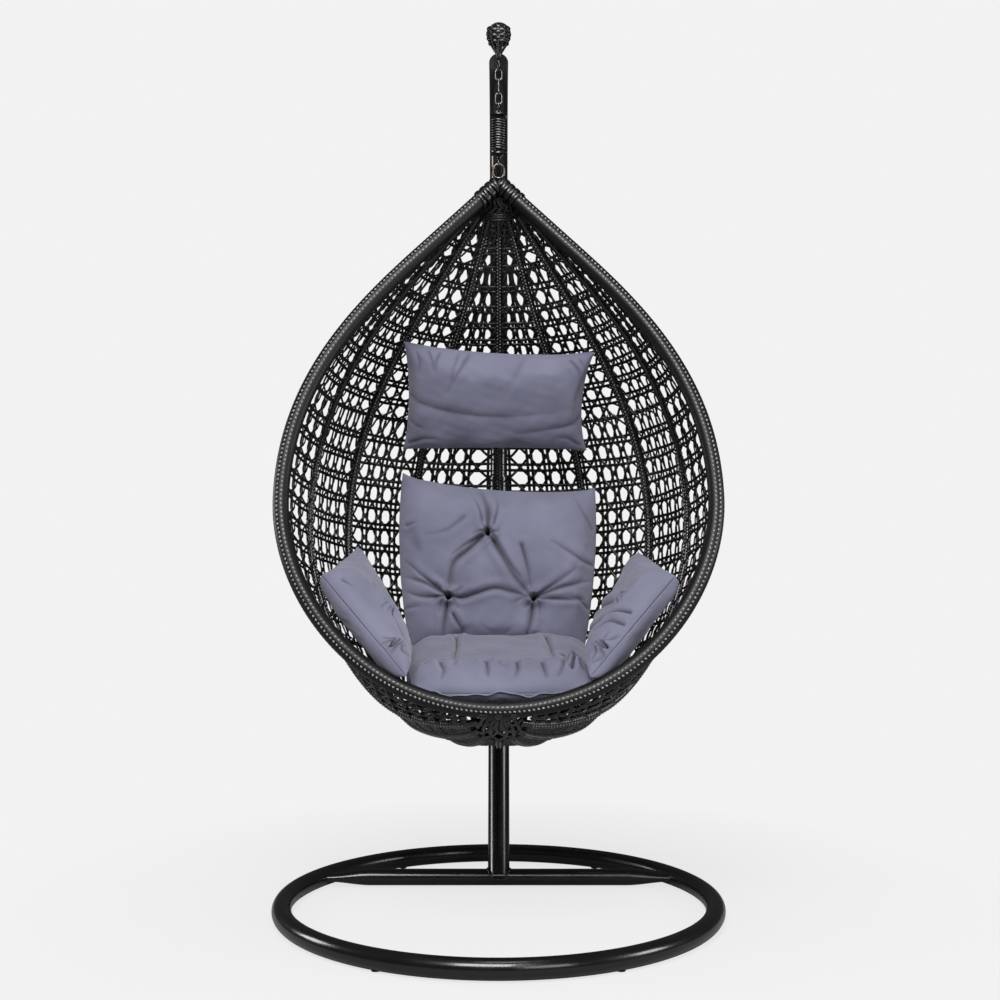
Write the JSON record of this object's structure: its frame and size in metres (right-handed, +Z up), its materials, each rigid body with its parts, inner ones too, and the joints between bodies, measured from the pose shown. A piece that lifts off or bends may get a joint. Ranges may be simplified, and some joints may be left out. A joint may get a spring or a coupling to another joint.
{
  "type": "hanging egg chair",
  "caption": "Egg-shaped cane basket seat with cushions, hung by a chain and coil spring from a curved steel stand on a floor ring.",
  "frame": {"origin": "on the floor, under the middle of the whole chair's box", "axes": "+Z up, -Y towards the basket's open front, +Y towards the pole, +X to the right seen from the front"},
  "size_m": [0.9863, 1.0184, 1.9435],
  "materials": {
    "steel": "satin dark grey powder coat",
    "rubber": "matt black rubber",
    "zinc": "zinc-plated steel wire",
    "brass": "dull bronze-plated steel",
    "cane": "dark synthetic cane with a satin sheen",
    "cloth": "plain-woven grey-violet cloth"
  },
  "bodies": {
    "stand": {"base_ring": "steel", "floor_pads": "rubber", "cross_tube": "steel", "lower_pole": "steel", "upper_pole": "steel", "socket_bolts": "zinc", "end_plug": "rubber", "hanger_eye": "zinc", "finial_bud": "cane"},
    "link_1": {"chain_link_1": "zinc"},
    "link_2": {"chain_link_2": "zinc"},
    "link_3": {"chain_link_3": "zinc"},
    "spring_top": {"upper_bail": "zinc", "spring": "zinc"},
    "spring_bottom": {"lower_bail": "zinc"},
    "basket": {"swivel_ring": "brass", "rim": "cane", "apex_wrap": "cane", "bottom_wrap": "cane", "rib_1": "cane", "rib_2": "cane", "rib_3": "cane", "rib_4": "cane", "rib_5": "cane", "rib_6": "cane", "rib_7": "cane", "half_hoop": "cane", "seat_hoop": "cane", "upper_panel_1": "cane", "upper_panel_2": "cane", "upper_panel_3": "cane", "upper_panel_4": "cane", "upper_panel_5": "cane", "upper_panel_6": "cane", "upper_panel_7": "cane", "upper_panel_8": "cane", "middle_panel_1": "cane", "middle_panel_2": "cane", "middle_panel_3": "cane", "middle_panel_4": "cane", "middle_panel_5": "cane", "middle_panel_6": "cane", "middle_panel_7": "cane", "middle_panel_8": "cane", "lower_panel_1": "cane", "lower_panel_2": "cane", "lower_panel_3": "cane", "lower_panel_4": "cane", "lower_panel_5": "cane", "lower_panel_6": "cane", "lower_panel_7": "cane", "lower_panel_8": "cane", "head_pillow": "cloth", "back_cushion": "cloth", "seat_cushion": "cloth", "arm_bolster_left": "cloth", "arm_bolster_right": "cloth"}
  },
  "joints": [
    {"name": "sway", "type": "hinge", "parent": "stand", "child": "link_1", "pos_m": [0, -0.01607, 1.8445], "axis": [0, 1, 0], "range_deg": [-12, 12]},
    {"name": "swing", "type": "hinge", "parent": "link_1", "child": "link_2", "pos_m": [0, -0.01607, 1.8268], "axis": [-1, 0, 0], "range_deg": [-4, 14]},
    {"name": "link_3_tilt", "type": "hinge", "parent": "link_2", "child": "link_3", "pos_m": [0, -0.01607, 1.7931], "axis": [0, -1, 0], "range_deg": [-6, 6]},
    {"name": "spring_tilt", "type": "hinge", "parent": "link_3", "child": "spring_top", "pos_m": [0, -0.01607, 1.7744], "axis": [1, 0, 0], "range_deg": [-4, 4]},
    {"name": "bounce", "type": "slide", "parent": "spring_top", "child": "spring_bottom", "axis": [0, 0, -1], "range_m": [-0.006, 0.05], "stiffness_N_per_m": 9000, "springref_m": -0.02512, "deforming": ["spring"]},
    {"name": "twist", "type": "hinge", "parent": "spring_bottom", "child": "basket", "pos_m": [0, -0.01607, 1.63689], "axis": [0, 0, 1], "range_deg": [-32, 32]}
  ]
}
